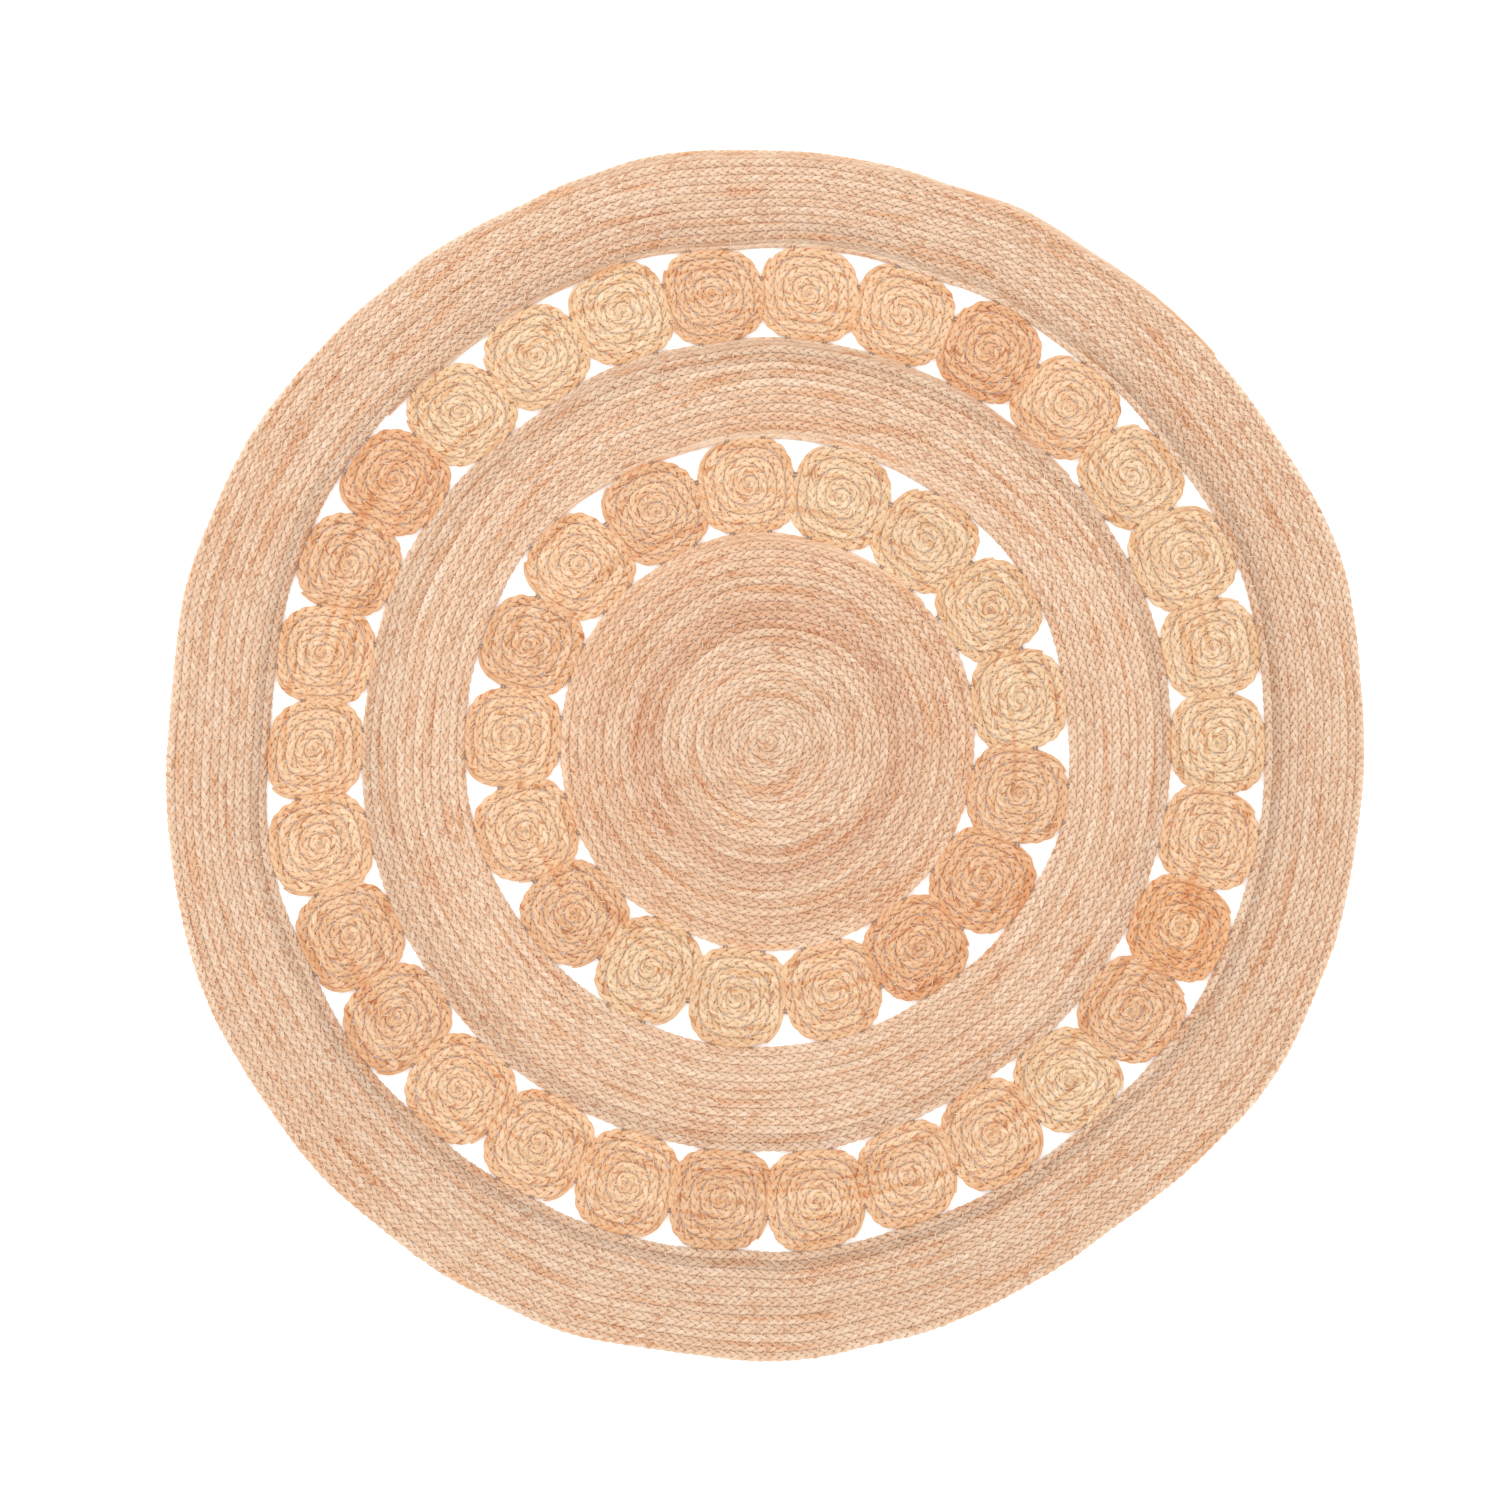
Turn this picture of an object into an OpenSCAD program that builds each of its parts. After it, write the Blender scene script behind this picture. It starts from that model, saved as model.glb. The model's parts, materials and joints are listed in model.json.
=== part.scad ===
// Round rug of plaited jute. Strips of two plaits side by side are coiled into a centre disc and two
// bands. Between them stand two rings of small medallions, each coiled from a single plait. Every
// coil is sewn with thread that lies in its grooves, and loops of thread tie each medallion to what
// it touches.
// The underside is flat on z = 0, with the middle of the rug at the origin.

/* [Rug] */
// Overall diameter
rug_d = 1204; // [1190:1:1230]
// Thickness of a plait
plait_h = 7; // [6:0.5:8]
// Turns of strip in the centre disc, outside its tightly wound core
disc_turns = 11; // [9:1:13]
// Radius of the core of the centre disc, before it is trimmed to suit whole turns
disc_core_r = 20.4; // [16:0.2:24]
// Turns of strip in each band
band_turns = 6; // [5:1:7]

/* [Medallions] */
// Number of medallions in the inner ring
inner_count = 17; // [16:1:17]
// Diameter of an inner medallion
inner_d = 92.4; // [90:0.2:94]
// Number of medallions in the outer ring
outer_count = 30; // [29:1:30]
// Diameter of an outer medallion
outer_d = 93.2; // [91:0.2:94]
// Turns of plait in a medallion, outside its core
medallion_turns = 4; // [3:1:5]
// Radius of the core of a medallion, before it is trimmed to suit whole turns
medallion_core_r = 11.6; // [9:0.2:13]
// Turn of the inner ring about the middle
inner_phase = 9.6; // [0:0.2:21]
// Turn of the outer ring about the middle
outer_phase = 0.4; // [0:0.2:12]

/* [Sewing] */
// Space between two neighbours, where the ties pass
seam = 1.6; // [1.2:0.1:2.4]
// Space between two turns of one coil
turn_gap = 0.4; // [0.3:0.1:0.6]
// Thickness of the tying thread
tie_t = 1.6; // [1.2:0.1:1.8]
// How far a tie reaches into each piece
tie_reach = 5; // [4:0.5:6]

/* [Hidden] */
$fn = 96;

// How far round a tapered plait end is left off, because it is too thin there to be a plait
taper_cut = 45;
// Plaits in a strip, and in a medallion's coil
strip_plaits = 2;
medallion_plaits = 1;
// Width and depth of the eased corners of a plait, as parts of its width
ease_w = 0.17;
ease_h = 0.115;
// Radius of the sewing thread, and how far its middle lies below the top, as parts of the plait's width
thread_r = 0.047;
thread_sink = 0.052;
// Distance from the thread's middle to its upright sides, as a part of its radius
thread_side = 0.86;
// Lowest point of a tie, its rise over the plaits, and the play that it has in its hole
tie_foot = 0.8;
tie_rise = 0.2;
tie_play = 0.2;

// Ring and band radii follow from medallions that stand a seam apart all round
inner_ring_r = ring_radius(inner_d, inner_count);
outer_ring_r = ring_radius(outer_d, outer_count);
disc_r = inner_ring_r - inner_d / 2 - seam;
middle_in_r = inner_ring_r + inner_d / 2 + seam;
middle_out_r = outer_ring_r - outer_d / 2 - seam;
outer_in_r = outer_ring_r + outer_d / 2 + seam;
outer_out_r = rug_d / 2;

pale_jute = [0.87, 0.72, 0.58];
honey_jute = [0.86, 0.68, 0.50];
amber_jute = [0.80, 0.56, 0.36];
thread_jute = [0.70, 0.54, 0.38];
// Places in each ring of the medallions of darker, redder jute
inner_amber = [14, 15];
outer_amber = [5, 12, 28];

// Sizes of coils are kept to whole hundredths, so that the ends of their half turns meet exactly
function hundredths(x) = round(100 * x) / 100;
function ring_radius(d, count) = hundredths((d + seam) / 2 / sin(180 / count));
function two_digits(k) = str(k < 9 ? "0" : "", k + 1);
function inner_name(k) = str("inner_medallion_", two_digits(k));
function outer_name(k) = str("outer_medallion_", two_digits(k));
function inner_angle(k) = inner_phase + 360 * k / inner_count;
function outer_angle(k) = outer_phase + 360 * k / outer_count;
function medallion_colour(k, ambers) = search(k, ambers) == [] ? honey_jute : amber_jute;

// Width of one turn with its gap, for a coil that fills the space between two radii
function pitch(in_r, out_r, turns) = 2 * hundredths((out_r - in_r + turn_gap) / turns / 2);
// Inner radius of that coil, once its pitch is rounded
function start_radius(in_r, out_r, turns) = out_r + turn_gap - turns * pitch(in_r, out_r, turns);

// Cross-section of some plaits side by side: flat bars with eased corners, the inner wall at radius r
module plait_section(r, w, h, plaits) {
    one = w / plaits;
    ew = hundredths(ease_w * one);
    eh = hundredths(ease_h * one);
    under = [
        for (k = [0 : plaits - 1])
            each [[r + k * one, eh], [r + k * one + ew, 0], [r + (k + 1) * one - ew, 0]]
    ];
    over = [
        for (k = [plaits - 1 : -1 : 0])
            each [[r + (k + 1) * one - ew, h], [r + k * one + ew, h], [r + k * one, h - eh]]
    ];
    polygon(concat(under, [[r + w, eh], [r + w, h - eh]], over));
}

// Part of a turn from angle a, with its inner wall at radius r
module arc_of_plait(r, w, h, plaits, a = 0, sweep = 180)
    rotate_extrude(angle = sweep, start = a) plait_section(r, w, h, plaits);

// Plaits wound clockwise and outward. Below the X axis each turn is centred on the origin. Above it
// each turn is centred half a pitch to the right, which carries it out to the next one. The first
// and last half turns thin out, so that both rims are true circles.
module coil(in_r, out_r, turns, h, plaits) {
    p = pitch(in_r, out_r, turns);
    start_r = start_radius(in_r, out_r, turns);
    w = p - turn_gap;
    for (k = [0 : turns - 1])
        arc_of_plait(start_r + k * p, w, h, plaits, a = 180);
    translate([p / 2, 0, 0])
        for (k = [0 : turns - 2])
            arc_of_plait(start_r + (k + 0.5) * p, w, h, plaits);
    difference() {
        translate([p / 2, 0, 0])
            arc_of_plait(start_r - p / 2, w, h, plaits, sweep = 180 - taper_cut);
        translate([0, 0, -1]) cylinder(r = start_r, h = h + 2);
    }
    intersection() {
        translate([p / 2, 0, 0])
            arc_of_plait(out_r + turn_gap - p / 2, w, h, plaits, taper_cut, 180 - taper_cut);
        translate([0, 0, -1]) cylinder(r = out_r, h = h + 2);
    }
}

// A coil wound round its own folded start, which fills the middle
module coil_with_core(core_r, out_r, turns, h, plaits) {
    coil(core_r, out_r, turns, h, plaits);
    cylinder(r = start_radius(core_r, out_r, turns) + turn_gap / 2, h = h);
}

// Sewing thread in the groove between the turns of a coil, clear of both thin ends, and in the groove
// between the two plaits of a strip
module groove_thread(in_r, out_r, turns, h, plaits) {
    p = pitch(in_r, out_r, turns);
    one = p / plaits;
    seam_r = start_radius(in_r, out_r, turns) - turn_gap / 2;
    for (k = [1 : turns - 1])
        thread_arc(seam_r + k * p, one, h, 180, 180);
    translate([p / 2, 0, 0])
        for (k = [0 : turns - 1]) {
            a = k == turns - 1 ? taper_cut : 0;
            b = k == 0 ? 180 - taper_cut : 180;
            thread_arc(seam_r + (k + 0.5) * p, one, h, a, b - a);
        }
    if (plaits > 1) {
        for (k = [0 : turns - 1])
            thread_arc(seam_r + (k + 0.5) * p, one, h, 180, 180);
        translate([p / 2, 0, 0])
            for (k = [1 : turns - 1])
                thread_arc(seam_r + k * p, one, h, 0, 180);
    }
}

// Six-sided thread over part of a turn, one of its edges down in the groove
module thread_arc(r, plait_w, h, a, sweep) {
    t = hundredths(thread_r * plait_w);
    side = hundredths(thread_side * t);
    rotate_extrude(angle = sweep, start = a)
        translate([r, h - hundredths(thread_sink * plait_w)])
            polygon([[0, -t], [side, -t / 2], [side, t / 2], [0, t], [-side, t / 2], [-side, -t / 2]]);
}

// Loop of thread round the edges of two neighbours, its middle in the seam and its length along X
module tie(play = 0) {
    top = plait_h + tie_rise + play;
    foot = tie_foot - play;
    length = seam + 2 * (tie_reach + play);
    thick = tie_t + 2 * play;
    translate([0, 0, (top + foot) / 2])
        difference() {
            cube([length, thick, top - foot], center = true);
            cube([length - 2 * thick, thick + 1, top - foot - 2 * thick], center = true);
        }
}

// Ties between the middle of the rug and each medallion of a ring, at radius r
module ties_at(r, count, phase, play = 0)
    for (k = [0 : count - 1])
        rotate(phase + 360 * k / count) translate([r, 0, 0]) tie(play);

// Ties between the neighbours in a ring
module side_ties(ring_r, count, phase)
    for (k = [0 : count - 1])
        rotate(phase + 360 * (k + 0.5) / count)
            translate([ring_r * cos(180 / count), 0, 0]) rotate(90) tie();

module centre_disc() {
    color(pale_jute)
        difference() {
            coil_with_core(disc_core_r, disc_r, disc_turns, plait_h, strip_plaits);
            ties_at(disc_r + seam / 2, inner_count, inner_phase, tie_play);
        }
}

module middle_band() {
    color(pale_jute)
        difference() {
            coil(middle_in_r, middle_out_r, band_turns, plait_h, strip_plaits);
            ties_at(middle_in_r - seam / 2, inner_count, inner_phase, tie_play);
            ties_at(middle_out_r + seam / 2, outer_count, outer_phase, tie_play);
        }
}

module outer_band() {
    color(pale_jute)
        difference() {
            coil(outer_in_r, outer_out_r, band_turns, plait_h, strip_plaits);
            ties_at(outer_in_r - seam / 2, outer_count, outer_phase, tie_play);
        }
}

// A medallion at the origin, with holes for the ties towards the middle, away from it and to both sides
module medallion(d, count) {
    difference() {
        coil_with_core(medallion_core_r, d / 2, medallion_turns, plait_h, medallion_plaits);
        for (a = [0, 180, 90 + 180 / count, -90 - 180 / count])
            rotate(a) translate([(d + seam) / 2, 0, 0]) tie(tie_play);
    }
}

module inner_medallion(k) {
    color(medallion_colour(k, inner_amber))
        rotate(inner_angle(k)) translate([inner_ring_r, 0, 0]) medallion(inner_d, inner_count);
}

module outer_medallion(k) {
    color(medallion_colour(k, outer_amber))
        rotate(outer_angle(k)) translate([outer_ring_r, 0, 0]) medallion(outer_d, outer_count);
}

module centre_disc_sewing() {
    color(thread_jute) groove_thread(disc_core_r, disc_r, disc_turns, plait_h, strip_plaits);
}

module middle_band_sewing() {
    color(thread_jute) groove_thread(middle_in_r, middle_out_r, band_turns, plait_h, strip_plaits);
}

module outer_band_sewing() {
    color(thread_jute) groove_thread(outer_in_r, outer_out_r, band_turns, plait_h, strip_plaits);
}

module inner_medallion_sewing() {
    color(thread_jute)
        for (k = [0 : inner_count - 1])
            rotate(inner_angle(k)) translate([inner_ring_r, 0, 0])
                groove_thread(medallion_core_r, inner_d / 2, medallion_turns, plait_h, medallion_plaits);
}

module outer_medallion_sewing() {
    color(thread_jute)
        for (k = [0 : outer_count - 1])
            rotate(outer_angle(k)) translate([outer_ring_r, 0, 0])
                groove_thread(medallion_core_r, outer_d / 2, medallion_turns, plait_h, medallion_plaits);
}

module medallion_side_ties() {
    color(thread_jute) {
        side_ties(inner_ring_r, inner_count, inner_phase);
        side_ties(outer_ring_r, outer_count, outer_phase);
    }
}

module centre_disc_ties() {
    color(thread_jute) ties_at(disc_r + seam / 2, inner_count, inner_phase);
}

module middle_band_inner_ties() {
    color(thread_jute) ties_at(middle_in_r - seam / 2, inner_count, inner_phase);
}

module middle_band_outer_ties() {
    color(thread_jute) ties_at(middle_out_r + seam / 2, outer_count, outer_phase);
}

module outer_band_ties() {
    color(thread_jute) ties_at(outer_in_r - seam / 2, outer_count, outer_phase);
}

centre_disc();
middle_band();
outer_band();
for (k = [0 : inner_count - 1])
    inner_medallion(k);
for (k = [0 : outer_count - 1])
    outer_medallion(k);
centre_disc_sewing();
middle_band_sewing();
outer_band_sewing();
inner_medallion_sewing();
outer_medallion_sewing();
medallion_side_ties();
centre_disc_ties();
middle_band_inner_ties();
middle_band_outer_ties();
outer_band_ties();
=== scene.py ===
"""Round rug of plaited jute: the visual model around the CAD frame, laid out as a Blender add-on."""

import json
import math

import bpy
import numpy as np
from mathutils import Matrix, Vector


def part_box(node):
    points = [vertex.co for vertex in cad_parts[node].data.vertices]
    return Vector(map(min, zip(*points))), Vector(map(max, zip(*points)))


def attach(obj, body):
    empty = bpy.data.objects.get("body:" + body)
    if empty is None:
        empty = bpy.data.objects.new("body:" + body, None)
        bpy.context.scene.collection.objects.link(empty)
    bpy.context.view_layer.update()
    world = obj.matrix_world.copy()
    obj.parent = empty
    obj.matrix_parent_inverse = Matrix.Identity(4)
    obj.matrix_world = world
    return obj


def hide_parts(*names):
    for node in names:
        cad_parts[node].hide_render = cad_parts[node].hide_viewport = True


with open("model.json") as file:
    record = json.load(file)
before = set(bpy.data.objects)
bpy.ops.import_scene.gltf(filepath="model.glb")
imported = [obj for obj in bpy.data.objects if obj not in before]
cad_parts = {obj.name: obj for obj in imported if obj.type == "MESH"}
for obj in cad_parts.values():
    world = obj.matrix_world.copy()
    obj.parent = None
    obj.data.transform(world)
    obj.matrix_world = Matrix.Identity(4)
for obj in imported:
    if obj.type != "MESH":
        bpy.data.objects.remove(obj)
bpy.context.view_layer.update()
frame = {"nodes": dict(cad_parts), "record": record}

bl_info = {
    "name": "Plaited jute rug",
    "version": (1, 0, 0),
    "blender": (4, 5, 0),
    "location": "View3D > Sidebar > Rug",
    "description": "Builds a round rug of coiled jute plait, with two rings of coiled medallions",
    "category": "Object",
}

MM = 0.001
FULL_TURN = 2 * math.pi
STRANDS = 3  # in every plait
STRIP_PLAITS = 2  # side by side in the strip that the disc and the bands are coiled from
CORE_R = 1.2 * MM  # where a coil starts
BODY = "root"  # nothing in a sewn rug moves on an axis
RUN_OUT = 0.5  # of a lap, over which the outer end of a coil thins away


# ---------------------------------------------------------------- sizes, from the CAD frame


def middle_and_radius(node):
    """Middle in the plane, radius and thickness of a round CAD node, in metres."""
    low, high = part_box(node)
    middle = np.array([(low.x + high.x) / 2, (low.y + high.y) / 2])
    return middle, (high.x - low.x + high.y - low.y) / 4, high.z


def nodes_named(start):
    """CAD node names that begin with some words and end in a number, in order."""
    return sorted(n for n in frame["nodes"] if n.startswith(start) and n[-1].isdigit())


INNER_NODES = nodes_named("inner_medallion_")
OUTER_NODES = nodes_named("outer_medallion_")
_, DISC_R, PLAIT_H = middle_and_radius("centre_disc")
_, MIDDLE_OUT_R, _ = middle_and_radius("middle_band")
_, OUTER_OUT_R, _ = middle_and_radius("outer_band")
_first_inner, INNER_R, MEDALLION_H = middle_and_radius(INNER_NODES[0])
_first_outer, OUTER_R, _ = middle_and_radius(OUTER_NODES[0])
INNER_RING_R = float(np.hypot(*_first_inner))
OUTER_RING_R = float(np.hypot(*_first_outer))
SEAM = INNER_RING_R - INNER_R - DISC_R
MIDDLE_IN_R = INNER_RING_R + INNER_R + SEAM
OUTER_IN_R = OUTER_RING_R + OUTER_R + SEAM
PLAIT_W = (MIDDLE_OUT_R - MIDDLE_IN_R) / (6 * STRIP_PLAITS)  # a band has six turns of strip


# ---------------------------------------------------------------- what a user may change


class PlaitSettings(bpy.types.PropertyGroup):
    """The three-strand plait that the whole rug is made of."""

    period: bpy.props.FloatProperty(
        name="Period", description="Length over which a strand crosses and comes back",
        default=28.8 * MM, min=15 * MM, max=45 * MM, subtype="DISTANCE", unit="LENGTH",
    )
    strand_width: bpy.props.FloatProperty(
        name="Strand width", description="Width of one strand in the plait",
        default=5.0 * MM, min=2 * MM, max=7 * MM, subtype="DISTANCE", unit="LENGTH",
    )
    strand_thickness: bpy.props.FloatProperty(
        name="Strand thickness", description="Thickness of one strand in the plait",
        default=3.5 * MM, min=1.5 * MM, max=4 * MM, subtype="DISTANCE", unit="LENGTH",
    )
    step: bpy.props.FloatProperty(
        name="Step", description="Distance between two rings of a strand's mesh",
        default=2.6 * MM, min=1.2 * MM, max=5 * MM, subtype="DISTANCE", unit="LENGTH",
    )
    sides: bpy.props.IntProperty(
        name="Sides", description="Sides of a strand's section", default=6, min=4, max=12
    )
    yarns: bpy.props.IntProperty(
        name="Yarns", description="Yarns that show round a strand", default=5, min=2, max=9
    )
    disc_turns: bpy.props.IntProperty(
        name="Disc turns", description="Turns of strip in the centre disc", default=12, min=6, max=16
    )
    band_turns: bpy.props.IntProperty(
        name="Band turns", description="Turns of strip in each band", default=6, min=4, max=8
    )
    medallion_turns: bpy.props.IntProperty(
        name="Medallion turns", description="Turns of plait in a medallion", default=5, min=3, max=7
    )


class JuteSettings(bpy.types.PropertyGroup):
    """Colours of the jute."""

    strip: bpy.props.FloatVectorProperty(
        name="Strip", description="Jute of the disc and the bands", subtype="COLOR", size=3,
        default=(0.955, 0.80, 0.645), min=0, max=1,
    )
    medallion: bpy.props.FloatVectorProperty(
        name="Medallions", description="Jute of most medallions", subtype="COLOR", size=3,
        default=(0.975, 0.815, 0.60), min=0, max=1,
    )
    amber: bpy.props.FloatVectorProperty(
        name="Amber", description="Jute of the darkest medallions", subtype="COLOR", size=3,
        default=(0.93, 0.61, 0.36), min=0, max=1,
    )
    # Only the ties take this colour; the stitches take the strip's. The ties are thread, and their dark
    # colour also paints the shade in the corners of the holes, where the pieces meet.
    thread: bpy.props.FloatVectorProperty(
        name="Thread", description="Thread of the stitches and the ties", subtype="COLOR", size=3,
        default=(0.42, 0.29, 0.22), min=0, max=1,
    )


class SewingSettings(bpy.types.PropertyGroup):
    """Thread that holds the plaits together."""

    stitch_spacing: bpy.props.FloatProperty(
        name="Stitch spacing", description="Distance between two stitches along a groove",
        default=18 * MM, min=6 * MM, max=40 * MM, subtype="DISTANCE", unit="LENGTH",
    )
    stitch_length: bpy.props.FloatProperty(
        name="Stitch length", description="Length of a stitch across a groove",
        default=4.6 * MM, min=2 * MM, max=8 * MM, subtype="DISTANCE", unit="LENGTH",
    )
    thread: bpy.props.FloatProperty(
        name="Thread", description="Thickness of the thread",
        default=1.1 * MM, min=0.5 * MM, max=2 * MM, subtype="DISTANCE", unit="LENGTH",
    )
    tie_loops: bpy.props.IntProperty(
        name="Tie loops", description="Loops of thread in each tie", default=4, min=1, max=8
    )


class StageSettings(bpy.types.PropertyGroup):
    """Floor, light and camera."""

    floor_size: bpy.props.FloatProperty(
        name="Floor size", description="Side of the floor", default=14.0, min=2, unit="LENGTH"
    )
    daylight: bpy.props.FloatProperty(
        name="Daylight", description="Strength of the even light from all round", default=1.0, min=0
    )
    view_width: bpy.props.FloatProperty(
        name="View width", description="Width of floor that the camera sees",
        default=1.5, min=0.5, subtype="DISTANCE", unit="LENGTH",
    )
    camera_height: bpy.props.FloatProperty(
        name="Camera height", description="Height of the camera over the floor",
        default=4.5, min=1, subtype="DISTANCE", unit="LENGTH",
    )


# ---------------------------------------------------------------- node trees


class Sheet:
    """Adds nodes to a tree and joins them."""

    def __init__(self, tree):
        self.tree = tree

    def feed(self, socket, value):
        if isinstance(value, bpy.types.Node):
            value = value.outputs[0]
        if isinstance(value, bpy.types.NodeSocket):
            self.tree.links.new(value, socket)
        else:
            socket.default_value = value

    def add(self, kind, sockets=None, **settings):
        node = self.tree.nodes.new(kind)
        for key, value in settings.items():
            setattr(node, key, value)
        for key, value in (sockets or {}).items():
            self.feed(node.inputs[key], value)
        return node

    def math(self, operation, *values):
        node = self.add("ShaderNodeMath", operation=operation)
        for socket, value in zip(node.inputs, values):
            self.feed(socket, value)
        return node.outputs[0]

    def vector(self, operation, *values):
        node = self.add("ShaderNodeVectorMath", operation=operation)
        for socket, value in zip(node.inputs, values):
            self.feed(socket, value)
        return node.outputs[0]

    def scaled(self, vector, factor):
        node = self.add("ShaderNodeVectorMath", {"Vector": vector, "Scale": factor}, operation="SCALE")
        return node.outputs[0]

    def named(self, name):
        """A float attribute, inside a geometry tree."""
        return self.add("GeometryNodeInputNamedAttribute", {"Name": name}).outputs[0]

    def store(self, geometry, name, value):
        node = self.add("GeometryNodeStoreNamedAttribute", domain="POINT", data_type="FLOAT")
        self.feed(node.inputs["Geometry"], geometry)
        self.feed(node.inputs["Name"], name)
        self.feed(node.inputs["Value"], value)
        return node.outputs[0]


SOCKETS = {
    "float": "NodeSocketFloat",
    "int": "NodeSocketInt",
    "material": "NodeSocketMaterial",
    "geometry": "NodeSocketGeometry",
}
STRAIGHTNESS = 0.9  # of a strand between its turns; near 0 would be a plain wave, and 1 a zigzag
QUICK_RISE = 0.6  # radians of phase, by which a strand rises over less of its way than it sinks


def new_shape_tree(name, inputs):
    """An empty geometry tree with named inputs. Returns its sheet, its input node and its output node."""
    tree = bpy.data.node_groups.new(name, "GeometryNodeTree")
    tree.interface.new_socket("Geometry", in_out="INPUT", socket_type=SOCKETS["geometry"])
    for title, kind in inputs:
        tree.interface.new_socket(title, in_out="INPUT", socket_type=SOCKETS[kind])
    tree.interface.new_socket("Geometry", in_out="OUTPUT", socket_type=SOCKETS["geometry"])
    sheet = Sheet(tree)
    return sheet, sheet.add("NodeGroupInput").outputs, sheet.add("NodeGroupOutput")


def strand_section(sheet, given):
    """Closed outline of a strand: a flattened round, marked with its directions across and up."""
    ring = sheet.add("GeometryNodeCurvePrimitiveCircle", {"Resolution": given["Sides"], "Radius": 1.0})
    index = sheet.add("GeometryNodeInputIndex").outputs[0]
    angle = sheet.math("MULTIPLY", sheet.math("DIVIDE", index, given["Sides"]), FULL_TURN)
    across = sheet.math("COSINE", angle)
    up = sheet.math("SINE", angle)
    place = sheet.add("ShaderNodeCombineXYZ", {
        "X": sheet.math("MULTIPLY", sheet.math("MULTIPLY", across, 0.5), given["Strand width"]),
        "Y": sheet.math("MULTIPLY", sheet.math("MULTIPLY", up, 0.5), given["Strand thickness"]),
    })
    marked = sheet.store(sheet.store(ring, "across", across), "up", up)
    return sheet.add("GeometryNodeSetPosition", {"Geometry": marked, "Position": place}).outputs[0]


def plait_tree():
    """Strands that cross over and under each other along a path. The path is a chain of edges, and each
    of its points holds beat, the periods so far, ease, the plait's width there as a part of full,
    reach, the length so far, and lap, the part of the coil so far."""
    sheet, given, out = new_shape_tree("jute_plait", [
        ("Strands", "int"), ("First strand", "int"), ("Sides", "int"),
        ("Strand width", "float"), ("Strand thickness", "float"),
        ("Sway", "float"), ("Lift", "float"), ("Height", "float"),
        ("Unevenness", "float"), ("Seed", "float"), ("Material", "material"),
    ])
    path = sheet.add("GeometryNodeMeshToCurve", {"Mesh": given["Geometry"]})
    copies = sheet.add(
        "GeometryNodeDuplicateElements", {"Geometry": path, "Amount": given["Strands"]}, domain="SPLINE"
    )
    strand = sheet.math("ADD", copies.outputs["Duplicate Index"], given["First strand"])
    geometry = sheet.store(copies.outputs["Geometry"], "strand", strand)
    strand = sheet.named("strand")
    beat = sheet.math("ADD", sheet.named("beat"), sheet.math("DIVIDE", strand, float(STRANDS)))
    angle = sheet.math("MULTIPLY", beat, FULL_TURN)
    ease = sheet.named("ease")

    # Slow unevenness along each strand, made by hand and never the same twice
    along = sheet.math("ADD", sheet.named("reach"), sheet.math("MULTIPLY", strand, 7.3))
    along = sheet.math("ADD", along, given["Seed"])

    def drift(scale, shift):
        noise = sheet.add(
            "ShaderNodeTexNoise",
            {"W": sheet.math("ADD", along, shift), "Scale": scale, "Detail": 1.0},
            noise_dimensions="1D",
        )
        centred = sheet.math("SUBTRACT", noise.outputs["Fac"], 0.5)
        return sheet.math("MULTIPLY", sheet.math("MULTIPLY", centred, 2.0), given["Unevenness"])

    # Between its turns at the two edges a strand runs nearly straight
    swing = sheet.math("ARCSINE", sheet.math("MULTIPLY", sheet.math("SINE", angle), STRAIGHTNESS))
    swing = sheet.math("DIVIDE", swing, math.asin(STRAIGHTNESS))
    geometry = sheet.store(geometry, "side", swing)
    sideways = sheet.math("MULTIPLY", swing, given["Sway"])
    sideways = sheet.math("ADD", sideways, sheet.math("MULTIPLY", drift(60.0, 3.1), given["Sway"]))
    sideways = sheet.math("MULTIPLY", sideways, ease)
    double = sheet.math("MULTIPLY", angle, 2.0)
    double = sheet.math("ADD", double, sheet.math("MULTIPLY", sheet.math("SINE", double), QUICK_RISE))
    rise = sheet.math("MULTIPLY", sheet.math("SINE", double), given["Lift"])
    rise = sheet.math("ADD", rise, sheet.math("MULTIPLY", drift(45.0, 9.7), given["Lift"]))
    rise = sheet.math("ADD", sheet.math("MULTIPLY", rise, ease), given["Height"])
    tangent = sheet.add("GeometryNodeInputTangent").outputs[0]
    side = sheet.vector("CROSS_PRODUCT", tangent, (0.0, 0.0, 1.0))
    offset = sheet.vector(
        "ADD", sheet.scaled(side, sideways), sheet.add("ShaderNodeCombineXYZ", {"Z": rise}).outputs[0]
    )
    moved = sheet.add("GeometryNodeSetPosition", {"Geometry": geometry, "Offset": offset})
    level = sheet.add("GeometryNodeSetCurveNormal", {"Curve": moved}, mode="Z_UP")
    # A strand lies flat in the middle of the plait, and stands on its edge as it turns back
    roll = sheet.math("MULTIPLY", sheet.math("SUBTRACT", 1.0, sheet.math("COSINE", angle)), math.pi / 2)
    tilted = sheet.add("GeometryNodeSetCurveTilt", {"Curve": level, "Tilt": roll})
    thick = sheet.math("MULTIPLY", sheet.math("ADD", 1.0, drift(80.0, 5.9)), sheet.math("SQRT", ease))
    mesh = sheet.add("GeometryNodeCurveToMesh", {
        "Curve": tilted, "Profile Curve": strand_section(sheet, given), "Scale": thick, "Fill Caps": True,
    })
    smooth = sheet.add("GeometryNodeSetShadeSmooth", {"Geometry": mesh})
    real = sheet.add("GeometryNodeRealizeInstances", {"Geometry": smooth})
    coloured = sheet.add("GeometryNodeSetMaterial", {"Geometry": real, "Material": given["Material"]})
    sheet.feed(out.inputs[0], coloured)
    return sheet.tree


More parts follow.
